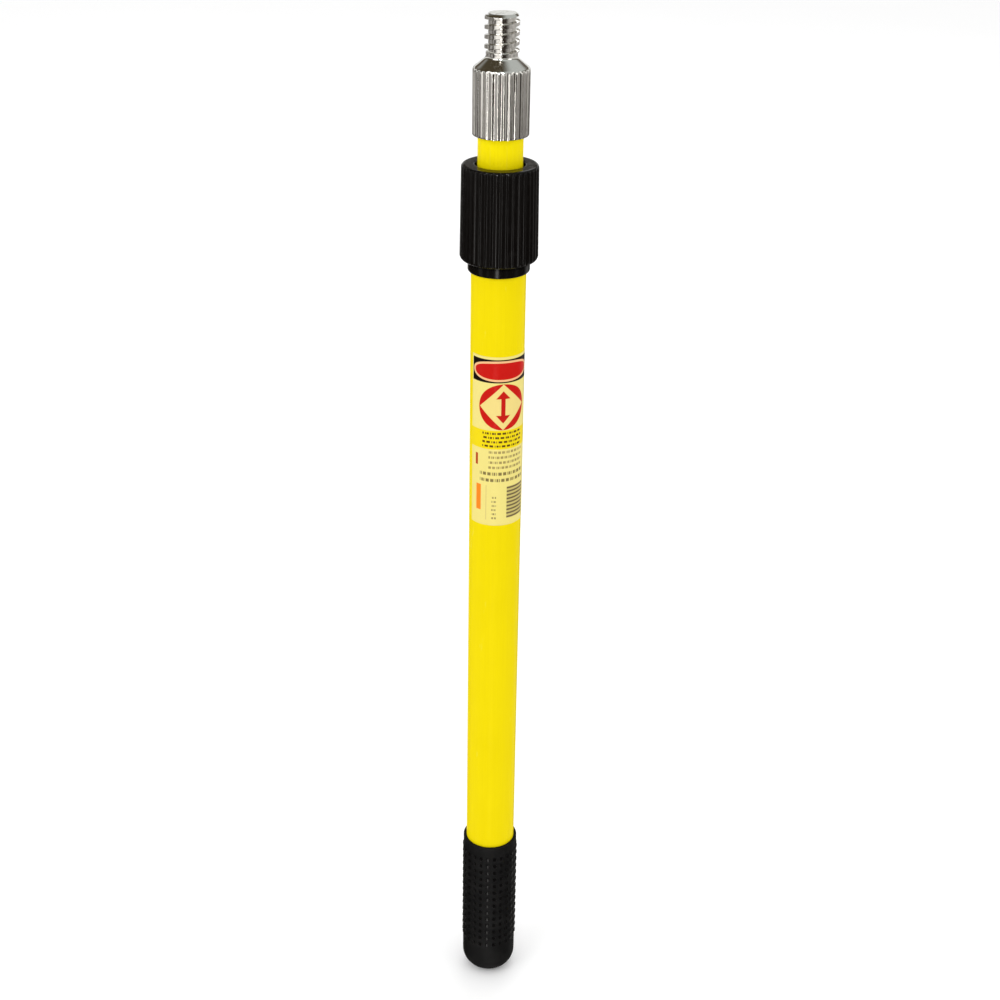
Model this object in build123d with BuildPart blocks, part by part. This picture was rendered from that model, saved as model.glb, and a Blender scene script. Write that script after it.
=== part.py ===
from build123d import *
import math
import os

# Two-section extension pole with an outside twist lock, shown pushed in and locked.
# Millimetres. +Z runs along the pole from the closed end of the hand grip to the threaded tip,
# and the origin is the centre of the small flat on that closed end.

# ---------------------------------------------------------------- tubes
outer_tube_od = 31.75
outer_tube_wall = 2.3
outer_tube_length = 529.0
inner_tube_od = 25.4
inner_tube_wall = 2.2
exposed_inner_tube = 16.0

# ---------------------------------------------------------------- hand grip and butt plug
grip_length = 110.7
grip_wall = 1.9
grip_end_radius = 12.0
grip_floor = 6.0
grip_top_row_drop = 9.2
grip_row_pitch = 5.65
grip_row_count = 14
grip_row_width = 3.0
grip_row_rise = 0.6
plug_flange_thickness = 3.0
plug_body_length = 18.0
plug_core_wall = 2.4
plug_web_thickness = 3.0
plug_relief_depth = 0.5
plug_relief_height = 3.0
plug_relief_count = 3

# ---------------------------------------------------------------- lock body, pinned over the tube's mouth
skirt_length = 29.5
skirt_wall = 1.5
neck_flange_wall = 1.9
neck_flange_height = 7.8
neck_groove_height = 0.8
neck_groove_depth = 0.5
neck_groove_below_nut = 0.8
neck_edge_radius = 1.4
ledge_thickness = 2.0
collet_socket_depth = 5.0
collet_socket_wall = 1.15
bush_length = 25.0
bush_flange_thickness = 1.5

# ---------------------------------------------------------------- coarse thread of the lock
lock_lead = 6.0
lock_thread_depth = 1.2
lock_thread_root_width = 3.1
lock_thread_crest_width = 2.0
lock_thread_gap = 0.2
lock_thread_top_drop = 5.0
thread_bite = 0.15
nut_thread_length = 14.0

# ---------------------------------------------------------------- lock nut and its ring
nut_top_wall = 2.9
nut_bottom_wall = 3.6
nut_travel = 4.5
nut_cap_thickness = 6.0
nut_mouth_gap = 1.5
nut_mouth_chamfer = 0.8
nut_top_edge_radius = 2.0
nut_bottom_edge_radius = 3.0
nut_bottom_above_neck = 6.7
nut_flute_count = 40
nut_flute_radius = 1.3
nut_flute_depth = 0.7
nut_bead_height = 0.8
nut_bead_depth = 0.4
ring_height = 1.5
ring_rise = 1.2
ring_groove_depth = 0.8
ring_stop_gap = 0.3
ring_split = 4.0

# ---------------------------------------------------------------- clamp collet and slip ring
collet_height = 22.1
collet_wall = 3.4
collet_tip_wall = 1.7
collet_cone_height = 16.0
collet_finger_count = 6
collet_slot_width = 2.2
collet_slot_drop = 4.1
collet_lug_width = 4.0
collet_lug_count = 3
collet_lug_turn = 30.0
slip_ring_rise = 3.0
slip_ring_cone_gap = 0.12
slip_key_count = 3
slip_key_side_gap = 0.3
slip_key_bore_gap = 0.4

# ---------------------------------------------------------------- foot of the inner tube
end_flange_height = 3.0
end_flange_gap = 0.275
end_spigot_length = 20.0
end_bore = 12.0
landing_gap = 0.3
glide_ring_height = 4.0
glide_ring_thickness = 1.8
glide_ring_split = 2.0

# ---------------------------------------------------------------- threaded tip, 3/4-5 ACME
tip_body_od = 31.6
tip_body_length = 36.2
tip_cone_height = 5.6
tip_shank_od = 17.4
tip_shank_length = 3.1
tip_shank_fillet = 2.0
tip_shoulder_radius = 3.0
tip_socket_depth = 30.0
tip_core_length = 40.0
tip_flute_count = 28
tip_flute_radius = 1.5
tip_flute_depth = 0.6
tip_foot_chamfer = 0.8
tip_thread_od = 18.9
tip_thread_pitch = 5.08
tip_thread_depth = 2.0
tip_thread_flank = 14.5
tip_thread_length = 20.1
tip_end_chamfer = 1.5

# ---------------------------------------------------------------- pins
lock_pin_diameter = 3.2
lock_pin_count = 3
lock_pin_height = 10.7
lock_pin_inset = 0.1
lock_pin_bore_gap = 0.3
tip_pin_diameter = 3.0
tip_pin_height = 17.0
end_pin_diameter = 2.5

# ---------------------------------------------------------------- printed label
label_bottom_height = 352.9
label_length = 108.4
label_width_angle = 148.0
label_turn = -77.0
label_thickness = 0.15

# ---------------------------------------------------------------- clearances
sleeve_fit = 0.05
running_fit = 0.1
pin_fit = 0.03
film_fit = 0.01
open_gap = 0.4

# ---------------------------------------------------------------- radii and heights that follow
outer_radius = outer_tube_od / 2
outer_bore = outer_radius - outer_tube_wall
inner_radius = inner_tube_od / 2
inner_bore = inner_radius - inner_tube_wall

tube_foot_z = grip_floor + plug_flange_thickness
tube_top_z = tube_foot_z + outer_tube_length
plug_radius = outer_bore - sleeve_fit
plug_top_z = tube_foot_z + plug_body_length

skirt_bore = outer_radius + sleeve_fit
lock_core_radius = skirt_bore + skirt_wall
lock_crest_radius = lock_core_radius + lock_thread_depth
neck_flange_radius = skirt_bore + neck_flange_wall
neck_z = tube_top_z - skirt_length
bush_bore = inner_radius + running_fit
bush_foot_z = tube_top_z - bush_length
bush_top_z = tube_top_z + bush_flange_thickness
socket_floor_z = bush_top_z + ledge_thickness
lock_body_top_z = socket_floor_z + collet_socket_depth
lock_pin_z = neck_z + lock_pin_height

nut_thread_major = lock_crest_radius + lock_thread_gap
nut_thread_minor = lock_core_radius + lock_thread_gap
nut_foot_z = neck_z + nut_bottom_above_neck
nut_foot_radius = nut_thread_major + nut_bottom_wall
nut_top_radius = nut_thread_major + nut_top_wall
nut_mouth_radius = inner_radius + nut_mouth_gap

ring_foot_z = nut_foot_z + ring_rise
ring_top_z = ring_foot_z + ring_height
ring_groove_radius = nut_thread_major + ring_groove_depth

lock_thread_z = ring_top_z + nut_travel + ring_stop_gap
lock_thread_top_z = lock_body_top_z - lock_thread_top_drop
nut_thread_z = lock_thread_top_z - nut_thread_length

collet_bore = inner_radius + running_fit
collet_radius = collet_bore + collet_wall
collet_tip_radius = collet_bore + collet_tip_wall
collet_top_z = socket_floor_z + collet_height
collet_cone_z = collet_top_z - collet_cone_height
collet_socket_radius = collet_radius + sleeve_fit
collet_lug_radius = collet_radius + collet_socket_wall

nut_cap_z = collet_top_z + open_gap
nut_top_z = nut_cap_z + nut_cap_thickness
nut_height = nut_top_z - nut_foot_z

slip_seat_radius = nut_thread_major - open_gap
slip_ring_radius = slip_seat_radius - running_fit
slip_ring_top_z = nut_cap_z - running_fit
slip_ring_foot_z = lock_body_top_z + slip_ring_rise
slip_key_bore = collet_bore + slip_key_bore_gap

end_foot_z = plug_top_z + landing_gap
end_flange_radius = outer_bore - end_flange_gap
glide_ring_z = end_foot_z + end_flange_height + sleeve_fit
glide_ring_top_z = glide_ring_z + glide_ring_height
glide_ring_radius = outer_bore - sleeve_fit
glide_ring_bore = glide_ring_radius - glide_ring_thickness
inner_tube_foot_z = glide_ring_top_z + sleeve_fit + end_flange_height
end_pin_z = inner_tube_foot_z + end_spigot_length / 2

tip_foot_z = nut_top_z + exposed_inner_tube
inner_tube_top_z = tip_foot_z + tip_socket_depth
tip_cone_z = tip_foot_z + tip_body_length
tip_shank_z = tip_cone_z + tip_cone_height
tip_thread_z = tip_shank_z + tip_shank_length
tip_top_z = tip_thread_z + tip_thread_length
tip_body_radius = tip_body_od / 2
tip_shank_radius = tip_shank_od / 2
tip_crest_radius = tip_thread_od / 2
tip_root_radius = tip_crest_radius - tip_thread_depth
tip_pin_z = tip_foot_z + tip_pin_height


# ---------------------------------------------------------------- shapes used more than once
def turned(*points):
    """A solid turned about Z from its (radius, height) points."""
    with BuildPart() as solid:
        with BuildSketch(Plane.XZ):
            with BuildLine():
                Polyline(*points, close=True)
            make_face()
        revolve(axis=Axis.Z)
    return solid.part


def round_tube(outside, inside, low, high):
    """A plain tube from one height to another."""
    return turned((inside, low), (outside, low), (outside, high), (inside, high))


def split_ring(outside, inside, low, high, gap):
    """A ring with a straight gap through it on the +X side."""
    with BuildPart() as ring:
        add(round_tube(outside, inside, low, high))
        with BuildSketch(Plane.XY.offset(low)):
            with Locations(((outside + inside) / 2, 0)):
                Rectangle(2 * (outside - inside), gap)
        extrude(amount=high - low, mode=Mode.SUBTRACT)
    return ring.part


def cross_pin(radius, half_length, height):
    """A round pin through the pole's axis, along X."""
    with BuildPart() as pin:
        with BuildSketch(Plane.YZ.offset(-half_length)):
            with Locations((0, height)):
                Circle(radius)
        extrude(amount=2 * half_length)
    return pin.part


def radial_pins(radius, inside, outside, height, count):
    """Round pins that point out from the axis, evenly spaced at one height."""
    with BuildPart() as pins:
        with PolarLocations(0, count):
            with Locations(Location(((inside + outside) / 2, 0, height), (0, 90, 0))):
                Cylinder(radius, outside - inside)
    return pins.part


def thread_band(root_radius, crest_radius, root_width, crest_width, pitch, low, high, turn=0):
    """A right-hand helical ridge on a wall at root_radius, cut off square at two heights."""
    depth = crest_radius - root_radius
    bite = thread_bite * depth
    bite_width = root_width + thread_bite * (root_width - crest_width)
    inside = min(root_radius, crest_radius) - abs(depth)
    outside = max(root_radius, crest_radius) + abs(depth)
    with BuildPart() as band:
        with BuildLine() as path:
            Helix(pitch, high - low + 2 * pitch, root_radius, center=(0, 0, low - pitch))
        with BuildSketch(Plane(origin=path.line @ 0, x_dir=(1, 0, 0), z_dir=path.line % 0)):
            with BuildLine():
                Polyline(
                    (-bite, -bite_width / 2),
                    (depth, -crest_width / 2),
                    (depth, crest_width / 2),
                    (-bite, bite_width / 2),
                    close=True,
                )
            make_face()
        sweep(path=path.line, is_frenet=True)
        add(round_tube(outside, inside, low, high), mode=Mode.INTERSECT)
    return band.part.rotate(Axis.Z, turn)


os.makedirs("parts", exist_ok=True)

# ---------------------------------------------------------------- outer tube
lock_pin_holes = radial_pins(
    lock_pin_diameter / 2 + pin_fit, inner_radius, 2 * outer_radius, lock_pin_z, lock_pin_count
)

with BuildPart() as outer_tube:
    add(round_tube(outer_radius, outer_bore, tube_foot_z, tube_top_z))
    add(lock_pin_holes, mode=Mode.SUBTRACT)

outer_tube.part.label = "outer_tube"
export_step(outer_tube.part, "parts/outer_tube.step")

# ---------------------------------------------------------------- hand grip
# A closed rubber boot with a domed end. Rows of small nubs stand out of it, and each row is a
# plain ring here, as high as its nubs.
grip_bore = outer_radius + sleeve_fit
grip_radius = grip_bore + grip_wall
grip_flat_radius = grip_radius - grip_end_radius
grip_top_row_z = grip_length - grip_top_row_drop

with BuildPart() as hand_grip:
    with BuildSketch(Plane.XZ):
        with BuildLine():
            Line((0, 0), (grip_flat_radius, 0))
            CenterArc((grip_flat_radius, grip_end_radius), grip_end_radius, 270, 90)
            Polyline(
                (grip_radius, grip_end_radius),
                (grip_radius, grip_length),
                (grip_bore, grip_length),
                (grip_bore, grip_floor),
                (0, grip_floor),
                (0, 0),
            )
        make_face()
        for row in range(grip_row_count):
            with Locations((grip_radius, grip_top_row_z - row * grip_row_pitch)):
                Rectangle(2 * grip_row_rise, grip_row_width)
    revolve(axis=Axis.Z)

hand_grip.part.label = "hand_grip"
export_step(hand_grip.part, "parts/hand_grip.step")

# ---------------------------------------------------------------- butt plug
# A moulded cup that closes the tube's foot and takes the blows when the pole is stood down.
plug_relief_step = plug_body_length / (plug_relief_count + 1)

with BuildPart() as butt_plug:
    add(
        turned(
            (0, grip_floor),
            (outer_radius, grip_floor),
            (outer_radius, tube_foot_z),
            (plug_radius, tube_foot_z),
            (plug_radius, plug_top_z),
            (0, plug_top_z),
        )
    )
    with BuildSketch(Plane.XY.offset(grip_floor)):
        Circle(plug_radius - plug_core_wall)
    extrude(amount=plug_top_z - plug_web_thickness - grip_floor, mode=Mode.SUBTRACT)
    with BuildSketch(Plane.XZ):
        for step in range(1, plug_relief_count + 1):
            with Locations((plug_radius, tube_foot_z + step * plug_relief_step)):
                Rectangle(2 * plug_relief_depth, plug_relief_height)
    revolve(axis=Axis.Z, mode=Mode.SUBTRACT)

butt_plug.part.label = "butt_plug"
export_step(butt_plug.part, "parts/butt_plug.step")

# ---------------------------------------------------------------- guide bush
# A flanged bush in the outer tube's mouth, which the inner tube runs through.
with BuildPart() as guide_bush:
    add(
        turned(
            (bush_bore, bush_foot_z),
            (outer_bore - sleeve_fit, bush_foot_z),
            (outer_bore - sleeve_fit, tube_top_z),
            (outer_radius, tube_top_z),
            (outer_radius, bush_top_z),
            (bush_bore, bush_top_z),
        )
    )
    add(lock_pin_holes, mode=Mode.SUBTRACT)

guide_bush.part.label = "guide_bush"
export_step(guide_bush.part, "parts/guide_bush.step")

# ---------------------------------------------------------------- lock body
# The skirt goes over the tube, the neck ring shows below the nut, the coarse thread carries the
# nut, and the socket at the top holds the collet's foot, with notches for its lugs.
neck_groove_top_z = nut_foot_z - neck_groove_below_nut
neck_groove_foot_z = neck_groove_top_z - neck_groove_height
neck_groove_radius = neck_flange_radius - neck_groove_depth
lock_thread = thread_band(
    lock_core_radius,
    lock_crest_radius,
    lock_thread_root_width,
    lock_thread_crest_width,
    lock_lead,
    lock_thread_z,
    lock_thread_top_z,
)

with BuildPart() as lock_body:
    add(
        turned(
            (skirt_bore, neck_z),
            (neck_flange_radius, neck_z),
            (neck_flange_radius, neck_groove_foot_z),
            (neck_groove_radius, neck_groove_foot_z),
            (neck_groove_radius, neck_groove_top_z),
            (neck_flange_radius, neck_groove_top_z),
            (neck_flange_radius, neck_z + neck_flange_height),
            (lock_core_radius, neck_z + neck_flange_height),
            (lock_core_radius, lock_body_top_z),
            (collet_socket_radius, lock_body_top_z),
            (collet_socket_radius, socket_floor_z),
            (inner_radius + open_gap, socket_floor_z),
            (inner_radius + open_gap, bush_top_z),
            (skirt_bore, bush_top_z),
        )
    )
    foot_edges = lock_body.edges().filter_by(GeomType.CIRCLE).group_by(Axis.Z)[0]
    fillet(foot_edges.sort_by(SortBy.RADIUS)[-1], neck_edge_radius)
    add(lock_thread)
    add(lock_pin_holes, mode=Mode.SUBTRACT)
    with BuildSketch(Plane.XY.offset(socket_floor_z)):
        with PolarLocations(collet_radius, collet_lug_count, start_angle=collet_lug_turn):
            Rectangle(2 * (collet_socket_wall + sleeve_fit), collet_lug_width + 2 * running_fit)
    extrude(amount=collet_socket_depth, mode=Mode.SUBTRACT)

lock_body.part.label = "lock_body"
export_step(lock_body.part, "parts/lock_body.step")

# ---------------------------------------------------------------- lock body pins
lock_body_pins = radial_pins(
    lock_pin_diameter / 2,
    bush_bore + lock_pin_bore_gap,
    lock_core_radius - lock_pin_inset,
    lock_pin_z,
    lock_pin_count,
)

lock_body_pins.label = "lock_body_pins"
export_step(lock_body_pins, "parts/lock_body_pins.step")

# ---------------------------------------------------------------- clamp collet
# A split tapered sleeve round the inner tube. Its lugs sit in the lock body's notches.
collet_slot_floor_z = slip_ring_foot_z - collet_slot_drop

with BuildPart() as clamp_collet:
    add(
        turned(
            (collet_bore, socket_floor_z),
            (collet_radius, socket_floor_z),
            (collet_radius, collet_cone_z),
            (collet_tip_radius, collet_top_z),
            (collet_bore, collet_top_z),
        )
    )
    with BuildSketch(Plane.XY.offset(socket_floor_z)):
        with PolarLocations(collet_radius, collet_lug_count, start_angle=collet_lug_turn):
            Rectangle(2 * collet_socket_wall, collet_lug_width)
    extrude(amount=collet_socket_depth)
    with BuildSketch(Plane.XY.offset(collet_slot_floor_z)):
        with PolarLocations(collet_radius, collet_finger_count):
            Rectangle(3 * collet_wall, collet_slot_width)
    extrude(amount=collet_top_z - collet_slot_floor_z, mode=Mode.SUBTRACT)

clamp_collet.part.label = "clamp_collet"
export_step(clamp_collet.part, "parts/clamp_collet.step")

# ---------------------------------------------------------------- label
label_radius = outer_radius + film_fit
label_start = label_turn - label_width_angle / 2

with BuildPart() as label:
    with BuildSketch(Plane.XY.offset(label_bottom_height)):
        Circle(label_radius + label_thickness)
        Circle(label_radius, mode=Mode.SUBTRACT)
        with BuildSketch(mode=Mode.PRIVATE) as label_sector:
            with BuildLine():
                sector_arc = CenterArc((0, 0), 2 * label_radius, label_start, label_width_angle)
                Line((0, 0), sector_arc @ 0)
                Line((0, 0), sector_arc @ 1)
            make_face()
        add(label_sector.sketch, mode=Mode.INTERSECT)
    extrude(amount=label_length)

label.part.label = "label"
export_step(label.part, "parts/label.step")

# ---------------------------------------------------------------- slip ring
# The wedge ring between nut and collet. Its keys ride in three of the collet's slots, so it goes
# up and down with the nut without turning.
collet_cone_slope = (collet_radius - collet_tip_radius) / collet_cone_height
slip_cone_top = collet_tip_radius + slip_ring_cone_gap - (slip_ring_top_z - collet_top_z) * collet_cone_slope
slip_cone_foot = collet_tip_radius + slip_ring_cone_gap + (collet_top_z - slip_ring_foot_z) * collet_cone_slope
slip_key_length = slip_cone_foot + running_fit - slip_key_bore

with BuildPart() as slip_ring:
    add(
        turned(
            (slip_cone_foot, slip_ring_foot_z),
            (slip_ring_radius, slip_ring_foot_z),
            (slip_ring_radius, slip_ring_top_z),
            (slip_cone_top, slip_ring_top_z),
        )
    )
    with BuildSketch(Plane.XY.offset(slip_ring_foot_z)):
        with PolarLocations(slip_key_bore + slip_key_length / 2, slip_key_count):
            Rectangle(slip_key_length, collet_slot_width - 2 * slip_key_side_gap)
    extrude(amount=slip_ring_top_z - slip_ring_foot_z)

slip_ring.part.label = "slip_ring"
export_step(slip_ring.part, "parts/slip_ring.step")

# ---------------------------------------------------------------- lock nut
# A ribbed cap nut. Its coarse thread meets the lock body's, its cap pushes the slip ring down,
# a bead below the slip ring lifts it again, and the foot has a groove for the retaining ring.
nut_bead_top_z = slip_ring_foot_z - running_fit
nut_bead_foot_z = nut_bead_top_z - nut_bead_height
nut_flute_offset = nut_flute_radius - nut_flute_depth
nut_flute_lean = Plane(
    origin=(nut_foot_radius + nut_flute_offset, 0, nut_foot_z),
    x_dir=(0, 1, 0),
    z_dir=(nut_top_radius - nut_foot_radius, 0, nut_height),
)
nut_thread = thread_band(
    nut_thread_major,
    nut_thread_minor,
    lock_thread_root_width,
    lock_thread_crest_width,
    lock_lead,
    nut_thread_z,
    lock_thread_top_z,
    turn=180 + 360 * (nut_thread_z - lock_thread_z) / lock_lead,
)

with BuildPart() as nut_flute:
    with BuildSketch(nut_flute_lean):
        Circle(nut_flute_radius)
    extrude(amount=nut_height + nut_flute_radius)

with BuildPart() as lock_nut:
    add(
        turned(
            (nut_thread_major, nut_foot_z),
            (nut_foot_radius, nut_foot_z),
            (nut_top_radius, nut_top_z),
            (nut_mouth_radius, nut_top_z),
            (nut_mouth_radius, nut_cap_z),
            (slip_seat_radius, nut_cap_z),
            (slip_seat_radius, nut_bead_top_z),
            (slip_seat_radius - nut_bead_depth, nut_bead_top_z),
            (slip_seat_radius - nut_bead_depth, nut_bead_foot_z),
            (nut_thread_major, nut_bead_foot_z),
        )
    )
    top_rims = lock_nut.edges().filter_by(GeomType.CIRCLE).group_by(Axis.Z)[-1].sort_by(SortBy.RADIUS)
    foot_rims = lock_nut.edges().filter_by(GeomType.CIRCLE).group_by(Axis.Z)[0].sort_by(SortBy.RADIUS)
    fillet(top_rims[-1], nut_top_edge_radius)
    fillet(foot_rims[-1], nut_bottom_edge_radius)
    chamfer(top_rims[0], nut_mouth_chamfer)
    with PolarLocations(0, nut_flute_count):
        add(nut_flute.part, mode=Mode.SUBTRACT)
    add(
        round_tube(
            ring_groove_radius, nut_thread_minor, ring_foot_z - sleeve_fit, ring_top_z + sleeve_fit
        ),
        mode=Mode.SUBTRACT,
    )
    add(nut_thread)

lock_nut.part.label = "lock_nut"
export_step(lock_nut.part, "parts/lock_nut.step")

# ---------------------------------------------------------------- nut retaining ring
# A split ring sprung into the nut's foot. It meets the end of the lock body's thread when the
# nut is turned right back, so that the nut can't come off.
nut_retaining_ring = split_ring(
    ring_groove_radius - sleeve_fit,
    neck_flange_radius + running_fit,
    ring_foot_z,
    ring_top_z,
    ring_split,
)

nut_retaining_ring.label = "nut_retaining_ring"
export_step(nut_retaining_ring, "parts/nut_retaining_ring.step")

# ---------------------------------------------------------------- inner tube
tip_pin_hole = cross_pin(tip_pin_diameter / 2 + pin_fit, tip_body_radius, tip_pin_z)
end_pin_hole = cross_pin(end_pin_diameter / 2 + pin_fit, outer_radius, end_pin_z)

with BuildPart() as inner_tube:
    add(round_tube(inner_radius, inner_bore, inner_tube_foot_z, inner_tube_top_z))
    add(tip_pin_hole, mode=Mode.SUBTRACT)
    add(end_pin_hole, mode=Mode.SUBTRACT)

inner_tube.part.label = "inner_tube"
export_step(inner_tube.part, "parts/inner_tube.step")

# ---------------------------------------------------------------- end bush and its pin
# A turned bobbin in the foot of the inner tube. The glide ring runs in its groove, and its top
# flange meets the guide bush when the pole is pulled right out.
spigot_radius = inner_bore - sleeve_fit
glide_groove_radius = glide_ring_bore - running_fit

with BuildPart() as end_bush:
    add(
        turned(
            (end_bore / 2, end_foot_z),
            (end_flange_radius, end_foot_z),
            (end_flange_radius, glide_ring_z - sleeve_fit),
            (glide_groove_radius, glide_ring_z - sleeve_fit),
            (glide_groove_radius, glide_ring_top_z + sleeve_fit),
            (end_flange_radius, glide_ring_top_z + sleeve_fit),
            (end_flange_radius, inner_tube_foot_z),
            (spigot_radius, inner_tube_foot_z),
            (spigot_radius, inner_tube_foot_z + end_spigot_length),
            (end_bore / 2, inner_tube_foot_z + end_spigot_length),
        )
    )
    add(end_pin_hole, mode=Mode.SUBTRACT)

end_bush.part.label = "end_bush"
export_step(end_bush.part, "parts/end_bush.step")

end_bush_pin = cross_pin(end_pin_diameter / 2, inner_radius - sleeve_fit, end_pin_z)

end_bush_pin.label = "end_bush_pin"
export_step(end_bush_pin, "parts/end_bush_pin.step")

# ---------------------------------------------------------------- glide ring
glide_ring = split_ring(
    glide_ring_radius, glide_ring_bore, glide_ring_z, glide_ring_top_z, glide_ring_split
)

glide_ring.label = "glide_ring"
export_step(glide_ring, "parts/glide_ring.step")

# ---------------------------------------------------------------- threaded tip
# A die-cast ferrule over the inner tube, with broad flutes that run out on its cone, and the
# coarse thread that screws into a roller frame.
tip_socket_radius = inner_radius + sleeve_fit
tip_flank_width = 2 * tip_thread_depth * math.tan(math.radians(tip_thread_flank))
tip_crest_width = (tip_thread_pitch - tip_flank_width) / 2
tip_thread = thread_band(
    tip_root_radius,
    tip_crest_radius,
    tip_crest_width + tip_flank_width,
    tip_crest_width,
    tip_thread_pitch,
    tip_thread_z,
    tip_top_z,
)

with BuildPart() as tip_flute:
    with BuildSketch(Plane.XY.offset(tip_foot_z)):
        with Locations((tip_body_radius + tip_flute_radius - tip_flute_depth, 0)):
            Circle(tip_flute_radius)
    extrude(amount=tip_body_length + tip_cone_height)

with BuildPart() as threaded_tip:
    add(
        turned(
            (tip_socket_radius, tip_foot_z),
            (tip_body_radius, tip_foot_z),
            (tip_body_radius, tip_cone_z),
            (tip_shank_radius, tip_shank_z),
            (tip_shank_radius, tip_thread_z),
            (tip_root_radius, tip_thread_z),
            (tip_root_radius, tip_top_z),
            (0, tip_top_z),
            (0, inner_tube_top_z + sleeve_fit),
            (tip_socket_radius, inner_tube_top_z + sleeve_fit),
        )
    )
    tip_rims = threaded_tip.edges().filter_by(GeomType.CIRCLE)
    body_rims = tip_rims.filter_by(lambda rim: abs(rim.radius - tip_body_radius) < film_fit)
    fillet(body_rims.sort_by(Axis.Z)[-1], tip_shoulder_radius)
    chamfer(body_rims.sort_by(Axis.Z)[0], tip_foot_chamfer)
    shank_rims = tip_rims.filter_by(lambda rim: abs(rim.radius - tip_shank_radius) < film_fit)
    fillet(shank_rims.sort_by(Axis.Z)[0], tip_shank_fillet)
    with PolarLocations(0, tip_flute_count):
        add(tip_flute.part, mode=Mode.SUBTRACT)
    add(tip_thread)
    add(
        turned(
            (tip_crest_radius - tip_end_chamfer, tip_top_z),
            (tip_crest_radius + tip_end_chamfer, tip_top_z),
            (tip_crest_radius + tip_end_chamfer, tip_top_z - 2 * tip_end_chamfer),
        ),
        mode=Mode.SUBTRACT,
    )
    add(tip_pin_hole, mode=Mode.SUBTRACT)

threaded_tip.part.label = "threaded_tip"
export_step(threaded_tip.part, "parts/threaded_tip.step")

# ---------------------------------------------------------------- tip core and cross pin
# A wooden plug that backs the tube's wall inside the tip, and the pin through all three.
with BuildPart() as tip_core:
    with BuildSketch(Plane.XY.offset(inner_tube_top_z - tip_core_length)):
        Circle(inner_bore - sleeve_fit)
    extrude(amount=tip_core_length)
    add(tip_pin_hole, mode=Mode.SUBTRACT)

tip_core.part.label = "tip_core"
export_step(tip_core.part, "parts/tip_core.step")

tip_cross_pin = cross_pin(tip_pin_diameter / 2, tip_body_radius - tip_flute_depth, tip_pin_z)

tip_cross_pin.label = "tip_cross_pin"
export_step(tip_cross_pin, "parts/tip_cross_pin.step")
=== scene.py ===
import math

import bmesh
import bpy
import numpy as np
from mathutils import Matrix, Vector


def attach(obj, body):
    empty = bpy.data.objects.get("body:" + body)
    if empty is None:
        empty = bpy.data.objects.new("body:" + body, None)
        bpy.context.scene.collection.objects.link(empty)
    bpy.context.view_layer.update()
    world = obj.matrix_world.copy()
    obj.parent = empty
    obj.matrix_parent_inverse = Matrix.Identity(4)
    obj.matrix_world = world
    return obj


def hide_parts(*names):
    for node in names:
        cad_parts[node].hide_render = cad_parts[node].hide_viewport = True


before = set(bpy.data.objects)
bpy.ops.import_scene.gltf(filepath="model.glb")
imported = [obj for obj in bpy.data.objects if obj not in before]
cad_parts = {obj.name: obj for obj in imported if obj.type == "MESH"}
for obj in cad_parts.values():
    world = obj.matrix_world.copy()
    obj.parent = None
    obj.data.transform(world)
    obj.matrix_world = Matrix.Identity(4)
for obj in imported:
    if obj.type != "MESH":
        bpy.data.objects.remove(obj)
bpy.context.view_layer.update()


# ================================================================ studio
# A white sweep under soft light. The pole stands on its closed end, and the lens looks down on it.
# The floor is left out of reflections, where a dark room with panels of light takes its place.
class Wire:
    """One number, vector or colour in a node tree. Arithmetic on it adds Math nodes."""

    def __init__(self, tree, socket):
        self.tree = tree
        self.socket = socket

    def node(self, kind, settings, inputs, output=0):
        """Adds any node: its type, its settings, then its inputs as values or wires."""
        made = self.tree.nodes.new(kind)
        for name, value in settings.items():
            setattr(made, name, value)
        for name, value in inputs.items():
            if isinstance(value, Wire):
                self.tree.links.new(value.socket, made.inputs[name])
            else:
                made.inputs[name].default_value = value
        return Wire(self.tree, made.outputs[output])

    def maths(self, operation, *others):
        inputs = dict(enumerate((self,) + others))
        return self.node("ShaderNodeMath", {"operation": operation}, inputs)

    def __add__(self, other):
        return self.maths("ADD", other)

    def __sub__(self, other):
        return self.maths("SUBTRACT", other)

    def __mul__(self, other):
        return self.maths("MULTIPLY", other)

    def __truediv__(self, other):
        return self.maths("DIVIDE", other)

    def __radd__(self, other):
        return self + other

    def __rmul__(self, other):
        return self * other

    def __rsub__(self, other):
        return self * -1 + other

    def __abs__(self):
        return self.maths("ABSOLUTE")

    def axes(self):
        """The X, Y and Z of a vector."""
        split = self.node("ShaderNodeSeparateXYZ", {}, {0: self}).socket.node
        return [Wire(self.tree, output) for output in split.outputs]

    def scaled(self, x, y, z):
        """A vector times three numbers."""
        return self.node("ShaderNodeVectorMath", {"operation": "MULTIPLY"}, {0: self, 1: (x, y, z)})

    def step(self, edge, width):
        """Rises from 0 to 1 over a width centred on the edge."""
        span = {0: self, 1: edge - width / 2, 2: edge + width / 2}
        return self.node("ShaderNodeMapRange", {"interpolation_type": "SMOOTHSTEP"}, span)

    def mixed(self, low, high):
        """The colour that this factor picks between two others."""
        pair = [colour if isinstance(colour, Wire) else (*colour, 1) for colour in (low, high)]
        settings = {"data_type": "RGBA", "clamp_factor": False}
        return self.node("ShaderNodeMix", settings, {0: self, 6: pair[0], 7: pair[1]}, 2)

    def noise(self, scale, detail=4.0):
        """Noise from 0 to 1 at this vector."""
        return self.node("ShaderNodeTexNoise", {}, {"Vector": self, "Scale": scale, "Detail": detail})

    def feeds(self, socket):
        self.tree.links.new(self.socket, socket)


lens_focal = 58.2
lens_place = (0.003, -0.885, 0.798)
lens_pitch = math.radians(90 - 26.21)
lens_roll = math.radians(0.96)
lens_turn = Matrix.Rotation(lens_pitch, 3, "X") @ Matrix.Rotation(lens_roll, 3, "Z")

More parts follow.
